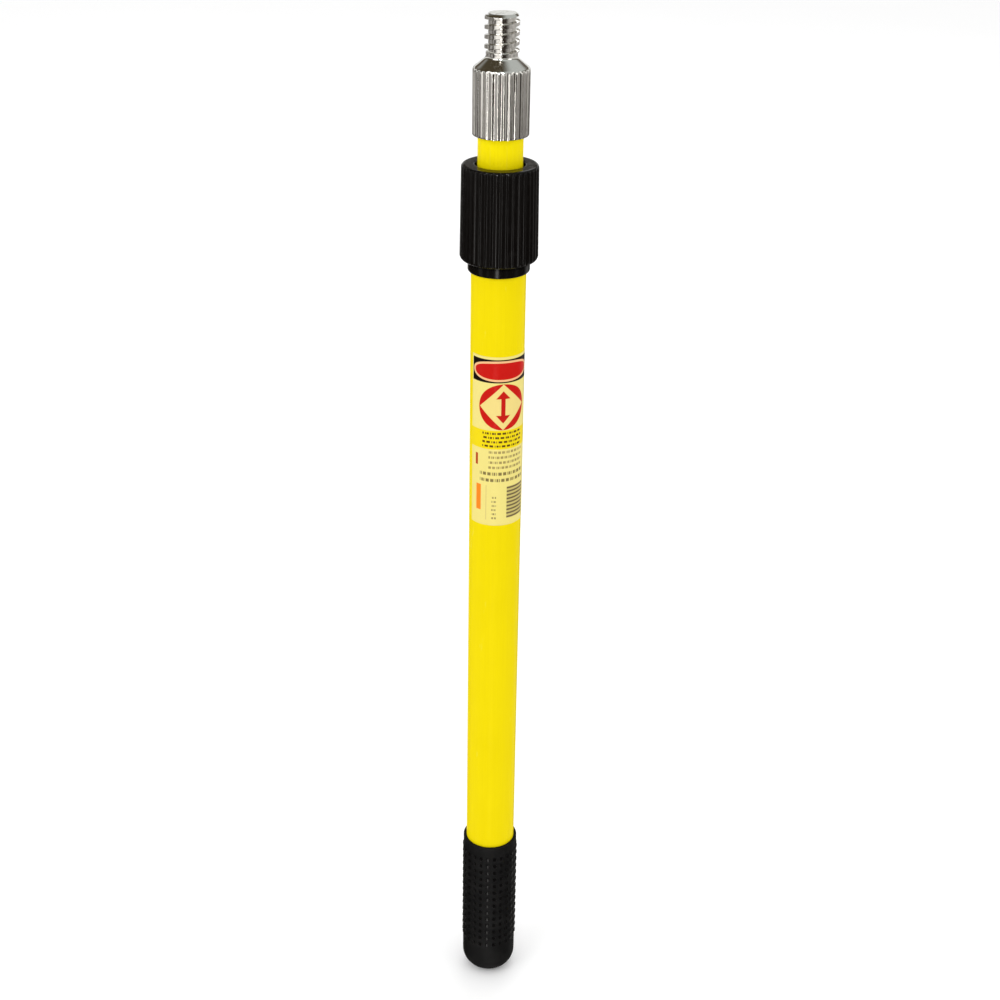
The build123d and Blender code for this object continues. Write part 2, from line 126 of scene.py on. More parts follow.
lens = bpy.data.cameras.new("lens")
lens.lens = lens_focal
lens.clip_end = 60
camera = bpy.data.objects.new("camera", lens)
camera.location = lens_place
camera.rotation_euler = lens_turn.to_euler()
bpy.context.scene.collection.objects.link(camera)
bpy.context.scene.camera = camera
bpy.context.scene.view_settings.view_transform = "Standard"


def material(name):
    """A new material with its Principled shader, and the piece's own place in metres as a wire."""
    made = bpy.data.materials.new(name)
    made.use_nodes = True
    shader = made.node_tree.nodes["Principled BSDF"]
    place = made.node_tree.nodes.new("ShaderNodeTexCoord").outputs["Object"]
    return made, shader, Wire(made.node_tree, place)


def bumped(shader, height, distance):
    """Lets a height wire stand out of the surface by up to the distance, in metres."""
    relief = {"Height": height, "Distance": distance, "Strength": 1.0}
    height.node("ShaderNodeBump", {}, relief).feeds(shader.inputs["Normal"])


floor_half_width = 24
floor_roughness = 0.95
floor_corners = [(-1, -1), (1, -1), (1, 1), (-1, 1)]
floor_mesh = bpy.data.meshes.new("studio_floor")
floor_points = [(floor_half_width * x, floor_half_width * y, 0) for x, y in floor_corners]
floor_mesh.from_pydata(floor_points, [], [range(4)])
floor = bpy.data.objects.new("studio_floor", floor_mesh)
floor.visible_glossy = False
bpy.context.scene.collection.objects.link(floor)
floor_material, floor_shader, place = material("floor_paper")
place.noise(3.0).mixed((0.96, 0.96, 0.96), (0.98, 0.98, 0.98)).feeds(floor_shader.inputs["Base Color"])
floor_shader.inputs["Roughness"].default_value = floor_roughness
floor_mesh.materials.append(floor_material)

crown_panels = [(-118, 25, 1.2), (25, 68, 0.50), (150, 30, 0.30), (-165, 10, 0.12)]
high_panels = [
    (-113, 17, 1.05), (-45, 14, 0.30), (-12, 9, 0.55), (28, 12, 0.30),
    (-166, 9, 0.7), (100, 30, 0.9), (165, 8, 0.5),
]
low_panels = [
    (-95, 5, 7.5), (-60, 4, 0.2), (-20, 7, 0.3), (-130, 4, 0.4),
    (-160, 8, 0.7), (40, 14, 0.6), (100, 16, 0.9),
]
low_panels_top = -0.245
high_panels_top = -0.190
horizon_top = 0.215
ceiling_foot = 0.50
canopy_direction = (-0.45, 0.10, 0.885)
canopy_edge = 0.78
room_white = (1, 1, 1)
room_strength = 1.02
room = bpy.data.worlds.new("studio_room")
room.use_nodes = True
bpy.context.scene.world = room
room_tree = room.node_tree
direction = Wire(room_tree, room_tree.nodes.new("ShaderNodeTexCoord").outputs["Generated"])
east, north, rise = direction.axes()
bearing = north.maths("ARCTAN2", east) * (180 / math.pi)


def panelled(panels):
    """The light of a ring of upright panels, each with a bearing, a half width and a strength."""
    light = bearing * 0
    for middle, half_width, strength in panels:
        offset = abs((bearing - middle).maths("WRAP", 180, -180))
        light = light + (1 - offset.step(half_width, half_width * 0.4 + 1)) * strength
    return light.mixed((0.022, 0.015, 0.010), (1.0, 0.98, 0.95))


# Below the horizon are three rings of panels. Above it are a pale band, a dim ceiling and a dark canopy.
lower = rise.step(low_panels_top, 0.02).mixed(panelled(low_panels), panelled(high_panels))
below = rise.step(high_panels_top, 0.010).mixed(lower, panelled(crown_panels))
horizon = rise.step(horizon_top, 0.02).mixed((0.86, 0.88, 0.86), (0.10, 0.08, 0.06))
ceiling = rise.step(ceiling_foot, 0.25).mixed(horizon, (0.50, 0.53, 0.52))
towards_canopy = {0: direction, 1: canopy_direction}
overhead = direction.node("ShaderNodeVectorMath", {"operation": "DOT_PRODUCT"}, towards_canopy, 1)
above = overhead.step(canopy_edge, 0.24).mixed(ceiling, (0.060, 0.048, 0.026))
glossy = direction.node("ShaderNodeLightPath", {}, {}, 3)
seen = glossy.mixed(room_white, rise.step(0.0, 0.06).mixed(below, above))
seen.feeds(room_tree.nodes["Background"].inputs["Color"])
room_tree.nodes["Background"].inputs["Strength"].default_value = room_strength

lamp_target = Vector((0, 0, 0.35))
softboxes = [
    ("key", (-1.7, -1.5, 2.1), 1.4, 16),
    ("fill", (1.9, -1.0, 1.5), 1.0, 5),
    ("back", (0.4, 2.2, 2.4), 1.6, 12),
    ("spark", (-0.16, -1.5, 1.5), 0.10, 30),
]
for name, spot, width, power in softboxes:
    box = bpy.data.lights.new(name, "AREA")
    box.size = width
    box.energy = power
    lamp = bpy.data.objects.new(name, box)
    lamp.location = spot
    aim = lamp_target - lamp.location
    lamp.rotation_euler = aim.to_track_quat("-Z", "Y").to_euler()
    lamp.visible_diffuse = name != "spark"
    bpy.context.scene.collection.objects.link(lamp)


# ================================================================ outer tube
# Pultruded glass fibre, pigmented yellow right through and sealed with a gloss resin coat.
# The lengthwise fibres just show in the coat, with a few fine scuffs from clips and storage.
def rounded(outline, steps=6, support=0.0004):
    """A closed outline of (radius, height, corner radius) points, with its corners turned into arcs."""
    points = []
    for before, corner, after in zip(outline[-1:] + outline[:-1], outline, outline[1:] + outline[:1]):
        here = np.array(corner[:2])
        bend = corner[2]
        if bend == 0:
            points.append(here)
            continue
        back = np.array(before[:2]) - here
        ahead = np.array(after[:2]) - here
        room_back = np.linalg.norm(back)
        room_ahead = np.linalg.norm(ahead)
        back = back / room_back
        ahead = ahead / room_ahead
        half = math.acos(np.clip(back @ ahead, -1, 1)) / 2
        run = bend / math.tan(half)
        bisector = (back + ahead) / np.linalg.norm(back + ahead)
        centre = here + bisector * bend / math.sin(half)
        start = here + back * run - centre
        end = here + ahead * run - centre
        turn = math.acos(np.clip(start @ end / bend**2, -1, 1))
        if run + support < room_back / 2:
            points.append(here + back * (run + support))
        for step in range(steps + 1):
            share = step / steps
            arc = math.sin((1 - share) * turn) * start + math.sin(share * turn) * end
            points.append(centre + arc / math.sin(turn))
        if run + support < room_ahead / 2:
            points.append(here + ahead * (run + support))
    return [tuple(point) for point in points]


def lathe(outline, segments):
    """Vertices and faces turned about Z from a closed (radius, height) outline that climbs outside."""
    angles = np.arange(segments) * 2 * math.pi / segments
    vertices = []
    rings = []
    for radius, height in outline:
        count = segments if radius > 0 else 1
        rings.append([len(vertices) + index % count for index in range(segments)])
        vertices += [(radius * math.cos(a), radius * math.sin(a), height) for a in angles[:count]]
    faces = []
    for lower, upper in zip(rings, rings[1:] + rings[:1]):
        for i in range(segments):
            j = (i + 1) % segments
            corners = list(dict.fromkeys([lower[i], lower[j], upper[j], upper[i]]))
            if len(corners) > 2:
                faces.append(corners)
    return vertices, faces


def piece(name, vertices, faces, sharp_angle=35):
    """A mesh object at the origin, smooth but for its sharp edges."""
    mesh = bpy.data.meshes.new(name)
    mesh.from_pydata(vertices, [], faces)
    cleaned = bmesh.new()
    cleaned.from_mesh(mesh)
    bmesh.ops.remove_doubles(cleaned, verts=cleaned.verts, dist=1e-7)
    cleaned.to_mesh(mesh)
    cleaned.free()
    mesh.shade_smooth()
    mesh.set_sharp_from_angle(angle=math.radians(sharp_angle))
    made = bpy.data.objects.new(name, mesh)
    bpy.context.scene.collection.objects.link(made)
    return made


def settled(made, body, finish, slot, *nodes):
    """Gives a finished piece its material and body, and hides the CAD nodes that it stands for. The slot
    is not used.
    """
    if not made.data.materials:
        made.data.materials.append(finish)
    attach(made, body)
    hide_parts(*nodes)


outer_radius = 0.015875
outer_bore = 0.013575
outer_foot = 0.009
outer_top = 0.538
outer_segments = 160
tube_edge = 0.0003

outer_outline = rounded([
    (outer_bore, outer_foot, tube_edge),
    (outer_radius, outer_foot, tube_edge),
    (outer_radius, outer_top, tube_edge),
    (outer_bore, outer_top, tube_edge),
])
outer_tube = piece("tube_outer", *lathe(outer_outline, outer_segments))

tube_yellow, shader, place = material("tube_yellow")
fibres = place.scaled(1, 1, 0.012).noise(1500.0, 3.0)
patches = place.noise(22.0)
scuffs = place.scaled(1, 1, 0.25).noise(160.0, 6.0).step(0.69, 0.05)
resin = (fibres * 0.5 + patches * 0.5).step(0.5, 0.5).mixed((0.755, 0.595, 0.0012), (0.800, 0.640, 0.0018))
scuffs.mixed(resin, (0.77, 0.64, 0.03)).feeds(shader.inputs["Base Color"])
(patches * 0.10 + scuffs * 0.20 + 0.20).feeds(shader.inputs["Roughness"])
shader.inputs["Specular IOR Level"].default_value = 0.03
bumped(shader, fibres + scuffs * 0.5, 0.000012)

settled(outer_tube, "outer_section", tube_yellow, "tube_yellow", "outer_tube")


# ================================================================ inner tube
# The same pultruded stock in the next size down, which slides in the outer one. Sliding through
# the lock leaves its coat a little duller, with fine lengthwise rub marks.
inner_radius = 0.0127
inner_bore = 0.0105
inner_foot = 0.0374
inner_top = 0.616
inner_segments = 144

inner_outline = rounded([
    (inner_bore, inner_foot, tube_edge),
    (inner_radius, inner_foot, tube_edge),
    (inner_radius, inner_top, tube_edge),
    (inner_bore, inner_top, tube_edge),
])
inner_tube = piece("tube_inner", *lathe(inner_outline, inner_segments))

tube_inner_yellow, shader, place = material("tube_inner_yellow")
fibres = place.scaled(1, 1, 0.012).noise(1500.0, 3.0)
patches = place.noise(25.0)
rubs = place.scaled(1, 1, 0.008).noise(420.0, 5.0).step(0.64, 0.07)
resin = (fibres * 0.5 + patches * 0.5).step(0.5, 0.5).mixed((0.840, 0.680, 0.0012), (0.880, 0.730, 0.0018))
(rubs * 0.6).mixed(resin, (0.77, 0.61, 0.03)).feeds(shader.inputs["Base Color"])
(patches * 0.10 + rubs * 0.22 + 0.22).feeds(shader.inputs["Roughness"])
shader.inputs["Specular IOR Level"].default_value = 0.03
bumped(shader, fibres + rubs * 0.6, 0.000012)

settled(inner_tube, "inner_section", tube_inner_yellow, "tube_yellow", "inner_tube")


# ================================================================ hand grip
# Black rubber, dip-moulded as one closed boot and rolled over the tube's foot. Small nubs stand
# out of it in straight columns and rows, and leave the rim and the domed end plain.
def node_tree(name, numbers):
    """A Geometry Nodes tree with a geometry and these numbers as its inputs, and one geometry output."""
    tree = bpy.data.node_groups.new(name, "GeometryNodeTree")
    tree.interface.new_socket("Geometry", in_out="INPUT", socket_type="NodeSocketGeometry")
    tree.interface.new_socket("Geometry", in_out="OUTPUT", socket_type="NodeSocketGeometry")
    tree.interface.new_socket("Material", in_out="INPUT", socket_type="NodeSocketMaterial")
    for number in numbers:
        tree.interface.new_socket(number, in_out="INPUT", socket_type="NodeSocketFloat")
    inside = tree.nodes.new("NodeGroupInput")
    given = {output.name: Wire(tree, output) for output in inside.outputs if output.name}
    return tree, given


def finished(tree, geometry, given):
    """Ends a tree in Realize Instances, Set Material and the output."""
    real = geometry.node("GeometryNodeRealizeInstances", {}, {0: geometry})
    painted = real.node("GeometryNodeSetMaterial", {}, {0: real, "Material": given["Material"]})
    painted.feeds(tree.nodes.new("NodeGroupOutput").inputs[0])


def grown(made, tree, finish, numbers, sharp_angle=35):
    """Runs a tree on a piece with its numbers set, and keeps the result as the piece's plain mesh."""
    modifier = made.modifiers.new(tree.name, "NODES")
    modifier.node_group = tree
    for socket in tree.interface.items_tree:
        if socket.in_out == "INPUT" and socket.name in numbers:
            modifier[socket.identifier] = numbers[socket.name]
        if socket.in_out == "INPUT" and socket.name == "Material":
            modifier[socket.identifier] = finish
    bpy.context.view_layer.update()
    evaluated = made.evaluated_get(bpy.context.evaluated_depsgraph_get())
    mesh = bpy.data.meshes.new_from_object(evaluated)
    made.modifiers.clear()
    made.data = mesh
    mesh.shade_smooth()
    mesh.set_sharp_from_angle(angle=math.radians(sharp_angle))


grip_radius = 0.017825
grip_bore = 0.015925
grip_top = 0.1107
grip_end_radius = 0.012
grip_floor = 0.006
grip_segments = 144
grip_nubs = {
    "Columns": 24.0,
    "Rows": 14.0,
    "Wall Radius": grip_radius,
    "Top Row": 0.1015,
    "Row Pitch": 0.00565,
    "Nub Width": 0.0024,
    "Nub Height": 0.0027,
    "Nub Rise": 0.0006,
    "Turn": math.radians(-93.5),
}

grip_outline = rounded([
    (0, 0, 0),
    (grip_radius, 0, grip_end_radius),
    (grip_radius, grip_top, 0.0006),
    (grip_bore, grip_top, 0.0003),
    (grip_bore, grip_floor, 0.0010),
    (0, grip_floor, 0),
], steps=14)
hand_grip = piece("grip_rubber_boot", *lathe(grip_outline, grip_segments))

nub_tree, given = node_tree("nub_rows", grip_nubs)
base = given["Geometry"]
number = base.node("GeometryNodeInputIndex", {}, {})
row = (number / given["Columns"]).maths("FLOOR")
column = number - row * given["Columns"]
angle = column / given["Columns"] * (2 * math.pi) + given["Turn"]
spot = number.node("ShaderNodeCombineXYZ", {}, {
    0: angle.maths("COSINE") * given["Wall Radius"],
    1: angle.maths("SINE") * given["Wall Radius"],
    2: given["Top Row"] - row * given["Row Pitch"],
})
seeds = base.node("GeometryNodeMeshLine", {}, {"Count": given["Columns"] * given["Rows"]})
placed = base.node("GeometryNodeSetPosition", {}, {0: seeds, "Position": spot})
cube_points = {"Size": (2, 2, 2), "Vertices X": 4, "Vertices Y": 4, "Vertices Z": 4}
cube = base.node("GeometryNodeMeshCube", {}, cube_points)
corner = base.node("GeometryNodeInputPosition", {}, {})
x, y, z = corner.axes()
swell = (x.maths("POWER", 4) + y.maths("POWER", 4) + z.maths("POWER", 4)).maths("POWER", -0.25)
pillow = corner.node("ShaderNodeVectorMath", {"operation": "SCALE"}, {0: corner, 3: swell})
nub = cube.node("GeometryNodeSetPosition", {}, {0: cube, "Position": pillow})
facing = number.node("ShaderNodeCombineXYZ", {}, {2: angle})
spin = base.node("FunctionNodeEulerToRotation", {}, {0: facing})
half_sizes = number.node("ShaderNodeCombineXYZ", {}, {
    0: given["Nub Rise"],
    1: given["Nub Width"] / 2,
    2: given["Nub Height"] / 2,
})
copies = {"Points": placed, "Instance": nub, "Rotation": spin, "Scale": half_sizes}
nubs = base.node("GeometryNodeInstanceOnPoints", {}, copies)
joined = base.node("GeometryNodeJoinGeometry", {}, {0: base})
nubs.feeds(joined.socket.node.inputs[0])
finished(nub_tree, joined, given)

grip_rubber, shader, place = material("grip_rubber")
grain = place.noise(2600.0, 3.0)
bloom = place.noise(70.0)
# Hands polish the nubs, and the rubber between them stays dull and dusty.
across, along = place.axes()[:2]
reach = (across * across + along * along).maths("SQRT")
recess = 1 - reach.step(grip_radius + 0.0002, 0.0005)
dust = (bloom.step(0.56, 0.25) * recess) * 0.5
dust.mixed((0.0032, 0.0030, 0.0030), (0.010, 0.0095, 0.009)).feeds(shader.inputs["Base Color"])
(grain * 0.05 + bloom * 0.05 + recess * 0.50 + 0.10).feeds(shader.inputs["Roughness"])
shader.inputs["Specular IOR Level"].default_value = 0.13
bumped(shader, grain, 0.000008)

grown(hand_grip, nub_tree, grip_rubber, grip_nubs)
settled(hand_grip, "outer_section", grip_rubber, "grip_rubber", "hand_grip")


# ================================================================ label
# A printed polyester film wrapped part of the way round the tube, under a gloss laminate.
# Its print is plain blocks, marks and stripes, with no lettering.
label_foot = 0.3529
label_height = 0.1084
label_inside = 0.015885
label_outside = 0.016035
label_start = math.radians(-151)
label_sweep = math.radians(148)
label_columns = 96
label_rows = 4

label_angles = label_start + label_sweep * np.arange(label_columns + 1) / label_columns
label_heights = label_foot + label_height * np.arange(label_rows + 1) / label_rows
label_points = [
    (radius * math.cos(a), radius * math.sin(a), z)
    for radius in (label_outside, label_inside) for z in label_heights for a in label_angles
]


def label_index(side, label_row, label_column):
    return (side * (label_rows + 1) + label_row) * (label_columns + 1) + label_column


label_faces = []
for r in range(label_rows):
    for c in range(label_columns):
        square = [(r, c), (r, c + 1), (r + 1, c + 1), (r + 1, c)]
        label_faces.append([label_index(0, *corner) for corner in square])
        label_faces.append([label_index(1, *corner) for corner in reversed(square)])
for c in range(label_columns):
    for r, order in ((0, 1), (label_rows, -1)):
        rim = [(0, r, c), (1, r, c), (1, r, c + 1), (0, r, c + 1)]
        label_faces.append([label_index(*corner) for corner in rim][::order])
for r in range(label_rows):
    for c, order in ((0, -1), (label_columns, 1)):
        rim = [(0, r, c), (1, r, c), (1, r + 1, c), (0, r + 1, c)]
        label_faces.append([label_index(*corner) for corner in rim][::order])
label = piece("label_print", label_points, label_faces)
label_map = label.data.uv_layers.new(name="film")
for corner in label.data.loops:
    x, y, z = label.data.vertices[corner.vertex_index].co
    share = (math.atan2(y, x) - label_start) / label_sweep
    label_map.data[corner.index].uv = (share, (z - label_foot) / label_height)

label_film, shader, place = material("label_film")
film = Wire(label_film.node_tree, label_film.node_tree.nodes.new("ShaderNodeTexCoord").outputs["UV"])
film_u, film_v = film.axes()[:2]
label_width_mm = 41.4
label_height_mm = 108.4
across = (film_u - 0.5) * label_width_mm
up = film_v * label_height_mm
edge = 0.25


def block(middle, half_width, foot, top):
    """A printed rectangle, in millimetres across from the middle and up from the foot."""
    side = 1 - abs(across - middle).step(half_width, edge)
    level = 1 - abs(up - (foot + top) / 2).step((top - foot) / 2, edge)
    return side * level


def disc(middle, height, width, tall, power=2.0):
    """A printed oval, with the share of its size that each power curve encloses."""
    sideways = (abs(across - middle) / (width / 2)).maths("POWER", power)
    level = (abs(up - height) / (tall / 2)).maths("POWER", power)
    return 1 - (sideways + level).step(1.0, 0.05)


def dashes(middle, half_width, foot, top, word, rows):
    """Rows of uneven dark dashes that stand for small print."""
    row_height = (top - foot) / rows
    line = ((up - foot) / row_height).maths("FRACT")
    row = ((up - foot) / row_height).maths("FLOOR")
    breaks = (across / word + row * 3.7).maths("SINE") + (across / word * 2.3 + row * 1.9).maths("SINE")
    level = 1 - abs(line - 0.5).step(0.24, 0.12)
    return level * breaks.step(-0.35, 0.3) * block(middle, half_width, foot, top)


ink = (0.008, 0.004, 0.003)
print_red = (0.52, 0.006, 0.003)
print_orange = (0.83, 0.22, 0.012)
print_yellow = (0.79, 0.62, 0.002)
print_grain = place.noise(900.0, 2.0)
ground = print_grain.mixed((0.76, 0.65, 0.19), (0.79, 0.68, 0.22))
colour = block(0, 19.9, 92.4, 106.8).mixed(ground, ink)
colour = disc(0, 99.6, 38.4, 12.8, 2.4).mixed(colour, (0.80, 0.46, 0.22))
colour = disc(0, 99.6, 35.6, 10.2, 2.4).mixed(colour, print_red)
colour = disc(0.5, 77.2, 30.0, 29.0).mixed(colour, print_red)
diamond = abs(across - 0.5) + abs(up - 77.2)
colour = (1 - diamond.step(14.4, 0.4)).mixed(colour, (0.78, 0.62, 0.21))
shaft = block(0.5, 1.3, 70.6, 83.8)
head = abs(across - 0.5) * 1.15 + abs(up - 77.2)
arrow_heads = (1 - head.step(10.2, 0.4)) * abs(up - 77.2).step(5.2, edge)
colour = shaft.maths("MAXIMUM", arrow_heads).mixed(colour, (0.50, 0.008, 0.004))
colour = block(0, 20.7, 50.4, 62.4).mixed(colour, print_yellow)
colour = dashes(1.0, 13.0, 51.0, 61.8, 0.55, 4).mixed(colour, (0.10, 0.045, 0.006))
colour = (dashes(3.5, 11.5, 36.8, 50.0, 0.42, 4) * 0.75).mixed(colour, (0.20, 0.13, 0.05))
colour = (dashes(1.5, 15.0, 28.0, 36.4, 0.50, 2) * 0.85).mixed(colour, (0.12, 0.08, 0.03))
colour = block(-16.0, 0.9, 39.0, 46.5).mixed(colour, (0.42, 0.05, 0.01))
colour = block(-14.4, 1.7, 9.6, 26.6).mixed(colour, print_orange)
colour = (block(-9.2, 0.16, 3.6, 26.6) * 0.7).mixed(colour, (0.45, 0.30, 0.12))
colour = (dashes(-4.4, 1.4, 3.6, 20.0, 0.30, 6) * 0.8).mixed(colour, (0.15, 0.10, 0.04))
stripes = (up * 2.6).maths("SINE").step(0.1, 0.5) * 0.6 + 0.35
colour = (block(10.5, 7.0, 4.6, 25.6) * stripes).mixed(colour, (0.11, 0.07, 0.04))
colour.feeds(shader.inputs["Base Color"])
(place.noise(60.0) * 0.12 + 0.24).feeds(shader.inputs["Roughness"])
shader.inputs["Specular IOR Level"].default_value = 0.10
bumped(shader, print_grain, 0.000006)

settled(label, "outer_section", label_film, "label_film", "label")


# ================================================================ lock nut
# Injection-moulded black nylon, glossy from the mould. Fine flutes run up its sides and fade out
# on the rounded foot and top edges, and the collar's mouth leaves a dark gap round the tube.
nut_foot = 0.5152
nut_top = 0.570
nut_foot_radius = 0.022425
nut_top_radius = 0.021725
nut_thread_radius = 0.018825
nut_seat_radius = 0.018425
nut_mouth_radius = 0.0142
nut_cap = 0.564
nut_bead_top = 0.5494
nut_bead_foot = 0.5486
nut_bead_radius = 0.018025
nut_groove_foot = 0.51635
nut_groove_top = 0.51795
nut_groove_radius = 0.019625
nut_segments = 480
nut_longest_step = 0.002
nut_flutes = {
    "Count": 40.0,
    "Cutter Radius": 0.0013,
    "Depth": 0.0007,
    "Foot Radius": nut_foot_radius,
    "Top Radius": nut_top_radius,
    "Foot Height": nut_foot,
    "Top Height": nut_top,
    "Softness": 0.00030,
}


def filled(outline, gap):
    """Adds points to an outline's long outer runs, so that no step up them is over the gap."""
    points = []
    for start, end in zip(outline, outline[1:] + outline[:1]):
        parts = max(1, math.ceil((end[1] - start[1]) / gap))
        for part in range(parts):
            share = part / parts
            points.append((start[0] + (end[0] - start[0]) * share, start[1] + (end[1] - start[1]) * share))
    return points


nut_outline = filled(rounded([
    (nut_thread_radius, nut_foot, 0.0004),
    (nut_foot_radius, nut_foot, 0.0030),
    (nut_top_radius, nut_top, 0.0020),
    (nut_mouth_radius, nut_top, 0.0008),
    (nut_mouth_radius, nut_cap, 0.0002),
    (nut_seat_radius, nut_cap, 0.0002),
    (nut_seat_radius, nut_bead_top, 0),
    (nut_bead_radius, nut_bead_top, 0),
    (nut_bead_radius, nut_bead_foot, 0),
    (nut_thread_radius, nut_bead_foot, 0),
    (nut_thread_radius, nut_groove_top, 0),
    (nut_groove_radius, nut_groove_top, 0),
    (nut_groove_radius, nut_groove_foot, 0),
    (nut_thread_radius, nut_groove_foot, 0),
], steps=10), nut_longest_step)
lock_nut = piece("nut_lock", *lathe(nut_outline, nut_segments))

flute_tree, given = node_tree("fluting", nut_flutes)
base = given["Geometry"]
at = base.node("GeometryNodeInputPosition", {}, {})
x, y, z = at.axes()
distance = (x * x + y * y).maths("SQRT")
angle = y.maths("ARCTAN2", x)
climb = (z - given["Foot Height"]) / (given["Top Height"] - given["Foot Height"])
face = given["Foot Radius"] + (given["Top Radius"] - given["Foot Radius"]) * climb
turns = angle * given["Count"] / (2 * math.pi)
sideways = (turns - turns.maths("ROUND")) * (2 * math.pi) / given["Count"] * face
cutter = given["Cutter Radius"]
inside_cutter = (cutter * cutter - sideways * sideways).maths("MAXIMUM", 0).maths("SQRT")
valley = face + cutter - given["Depth"] - inside_cutter
fluted = distance.maths("SMOOTH_MIN", valley, given["Softness"])
scale = fluted / distance.maths("MAXIMUM", 0.00001)
outside = distance.maths("GREATER_THAN", 0)
moved = at.node("ShaderNodeCombineXYZ", {}, {0: x * scale, 1: y * scale, 2: z})
shaped = base.node("GeometryNodeSetPosition", {}, {0: base, "Selection": outside, "Position": moved})
finished(flute_tree, shaped, given)

nut_black, shader, place = material("nut_black")
mould_marks = place.noise(45.0)
handling = place.noise(260.0, 6.0).step(0.62, 0.12)
handling.mixed((0.0028, 0.0022, 0.0019), (0.0048, 0.0040, 0.0036)).feeds(shader.inputs["Base Color"])
(mould_marks * 0.05 + handling * 0.06 + 0.12).feeds(shader.inputs["Roughness"])
shader.inputs["Specular IOR Level"].default_value = 0.16
bumped(shader, mould_marks, 0.00001)

grown(lock_nut, flute_tree, nut_black, nut_flutes, sharp_angle=50)
settled(lock_nut, "lock_nut", nut_black, "lock_plastic", "lock_nut")


# ================================================================ threaded tip
# Die-cast zinc, bright nickel plated: a ferrule with broad flutes that run out on its cone, and
# the coarse thread that takes a roller frame. The plating is thin and warm at its worn edges.
tip_foot = 0.586
tip_socket_radius = 0.01275
tip_socket_top = 0.61605
tip_body_radius = 0.0158
tip_cone_foot = 0.6222
tip_cone_top = 0.6278
tip_neck_radius = 0.0087
tip_thread_foot = 0.6309
tip_top = 0.651
tip_root_radius = 0.00745
tip_crest_radius = 0.00945
tip_pitch = 0.00508
tip_crest_share = 0.398
tip_flank_share = 0.102
tip_flank_softness = 0.35
tip_end_chamfer = 0.0015
tip_segments = 280
tip_steps = 32
tip_longest_step = 0.0012
tip_flutes = {
    "Count": 28.0,
    "Cutter Radius": 0.0015,
    "Depth": 0.0006,
    "Foot Radius": tip_body_radius,
    "Top Radius": tip_body_radius,
    "Foot Height": tip_foot,
    "Top Height": tip_top,
    "Softness": 0.00035,
}

tip_outline = filled(rounded([
    (0, tip_socket_top, 0),
    (tip_socket_radius, tip_socket_top, 0),
    (tip_socket_radius, tip_foot, 0.0003),
    (tip_body_radius, tip_foot, 0.0008),
    (tip_body_radius, tip_cone_foot, 0.0030),
    (tip_neck_radius, tip_cone_top, 0.0020),
    (tip_neck_radius, tip_thread_foot, 0.0003),
    (tip_root_radius, tip_thread_foot, 0),
], steps=8), tip_longest_step)
shell_points, shell_faces = lathe(tip_outline, tip_segments)
shell_faces = shell_faces[:-tip_segments]


def thread_radius(turn, height):
    """How far out the thread's surface is at a share of a turn and a height."""
    phase = (height - tip_thread_foot) / tip_pitch - turn
    offset = abs(phase - np.round(phase))
    ridge = np.clip((tip_crest_share / 2 + tip_flank_share - offset) / tip_flank_share, 0, 1)
    eased = ridge * ridge * (3 - 2 * ridge)
    ridge = eased * tip_flank_softness + ridge * (1 - tip_flank_softness)
    raised = tip_root_radius + (tip_crest_radius - tip_root_radius) * ridge
    return np.minimum(raised, tip_crest_radius - tip_end_chamfer + tip_top - height)


thread_rows = math.ceil((tip_top - tip_thread_foot) / tip_pitch * tip_steps) + tip_steps + 1
thread_turn, thread_row = np.meshgrid(np.arange(tip_segments) / tip_segments, np.arange(thread_rows))
thread_height = tip_thread_foot + (thread_row / tip_steps - 1 + thread_turn) * tip_pitch
thread_height = np.clip(thread_height, tip_thread_foot, tip_top)
thread_reach = thread_radius(thread_turn, thread_height)
thread_reach[thread_height <= tip_thread_foot] = tip_root_radius
thread_points = np.stack([
    thread_reach * np.cos(2 * math.pi * thread_turn),
    thread_reach * np.sin(2 * math.pi * thread_turn),
    thread_height,
], axis=-1).reshape(-1, 3).tolist()
first = len(shell_points)
thread_faces = []
for r in range(thread_rows - 1):
    for c in range(tip_segments):
        near = first + r * tip_segments + c
        far = near + 1 if c < tip_segments - 1 else first + (r + tip_steps) * tip_segments
        if far + tip_segments < first + thread_rows * tip_segments:
            thread_faces.append([near, far, far + tip_segments, near + tip_segments])
apex = first + len(thread_points)
last_row = first + (thread_rows - 1) * tip_segments
for c in range(tip_segments):
    near = last_row + c
    far = near + 1 if c < tip_segments - 1 else last_row
    thread_faces.append([near, far, apex])
tip_points = shell_points + thread_points + [(0, 0, tip_top)]
threaded_tip = piece("tip_threaded", tip_points, shell_faces + thread_faces)

tip_nickel, shader, place = material("tip_nickel")
cast = place.noise(120.0, 5.0)
wear = place.noise(420.0, 6.0).step(0.60, 0.14)
cast.mixed((0.74, 0.72, 0.68), (0.86, 0.84, 0.80)).feeds(shader.inputs["Base Color"])
(cast * 0.05 + wear * 0.10 + 0.10).feeds(shader.inputs["Roughness"])
shader.inputs["Metallic"].default_value = 1.0
bumped(shader, cast, 0.00001)

grown(threaded_tip, flute_tree, tip_nickel, tip_flutes)
settled(threaded_tip, "inner_section", tip_nickel, "tip_metal", "threaded_tip")


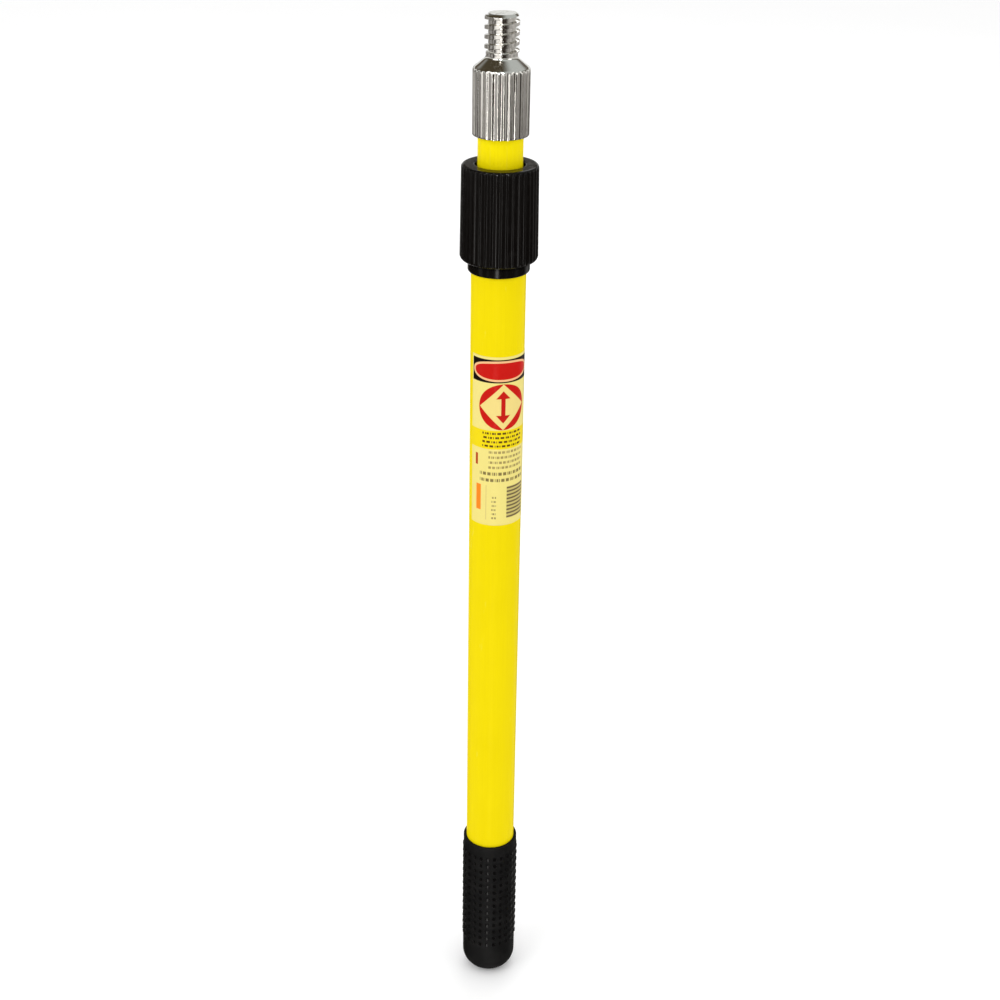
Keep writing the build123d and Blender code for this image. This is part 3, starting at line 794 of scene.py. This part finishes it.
# ================================================================ lock body
# Moulded black nylon, pinned over the outer tube's mouth. Below the nut it shows as a low ring
# with a groove, and its coarse thread comes into sight only inside the nut.
body_black, shader, place = material("body_black")
mould_marks = place.noise(60.0)
mould_marks.mixed((0.0030, 0.0025, 0.0022), (0.0045, 0.0040, 0.0036)).feeds(shader.inputs["Base Color"])
(mould_marks * 0.06 + 0.13).feeds(shader.inputs["Roughness"])
shader.inputs["Specular IOR Level"].default_value = 0.16
bumped(shader, mould_marks, 0.00001)


def dressed(node, finish):
    """Gives a CAD node that is shown as it is its material."""
    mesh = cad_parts[node].data
    mesh.materials.clear()
    mesh.materials.append(finish)


dressed("lock_body", body_black)


# ================================================================ plug, bushes and their rings
# Moulded nylon and acetal parts that are out of sight inside the tubes: the butt plug, the guide
# bush at the outer tube's mouth, and the end bush with its glide ring on the inner tube's foot.
bush_nylon, shader, place = material("bush_nylon")
flow = place.noise(90.0)
flow.mixed((0.040, 0.040, 0.044), (0.060, 0.060, 0.066)).feeds(shader.inputs["Base Color"])
(flow * 0.15 + 0.42).feeds(shader.inputs["Roughness"])
for node in ("butt_plug", "guide_bush", "end_bush"):
    dressed(node, bush_nylon)

acetal, shader, place = material("acetal")
flow = place.noise(80.0)
flow.mixed((0.79, 0.78, 0.74), (0.85, 0.84, 0.80)).feeds(shader.inputs["Base Color"])
(flow * 0.12 + 0.34).feeds(shader.inputs["Roughness"])
for node in ("glide_ring", "clamp_collet", "slip_ring"):
    dressed(node, acetal)


# ================================================================ pins and retaining ring
# Drawn steel wire, plated. The pins are cut square and pressed in, and the ring is coiled with an
# open gap so that it can be sprung into the nut's groove.
wire_steel, shader, place = material("wire_steel")
drawn = place.noise(700.0, 3.0)
drawn.mixed((0.50, 0.50, 0.51), (0.60, 0.60, 0.61)).feeds(shader.inputs["Base Color"])
(drawn * 0.12 + 0.26).feeds(shader.inputs["Roughness"])
shader.inputs["Metallic"].default_value = 1.0
for node in ("lock_body_pins", "tip_cross_pin", "end_bush_pin", "nut_retaining_ring"):
    dressed(node, wire_steel)


# ================================================================ tip core
# A turned hardwood plug, driven into the inner tube to back its wall where the tip's pin goes
# through. The grain runs along it.
core_wood, shader, place = material("core_wood")
grain = place.scaled(1, 1, 0.06).noise(420.0, 4.0)
grain.mixed((0.46, 0.30, 0.16), (0.66, 0.49, 0.30)).feeds(shader.inputs["Base Color"])
(grain * 0.10 + 0.60).feeds(shader.inputs["Roughness"])
dressed("tip_core", core_wood)
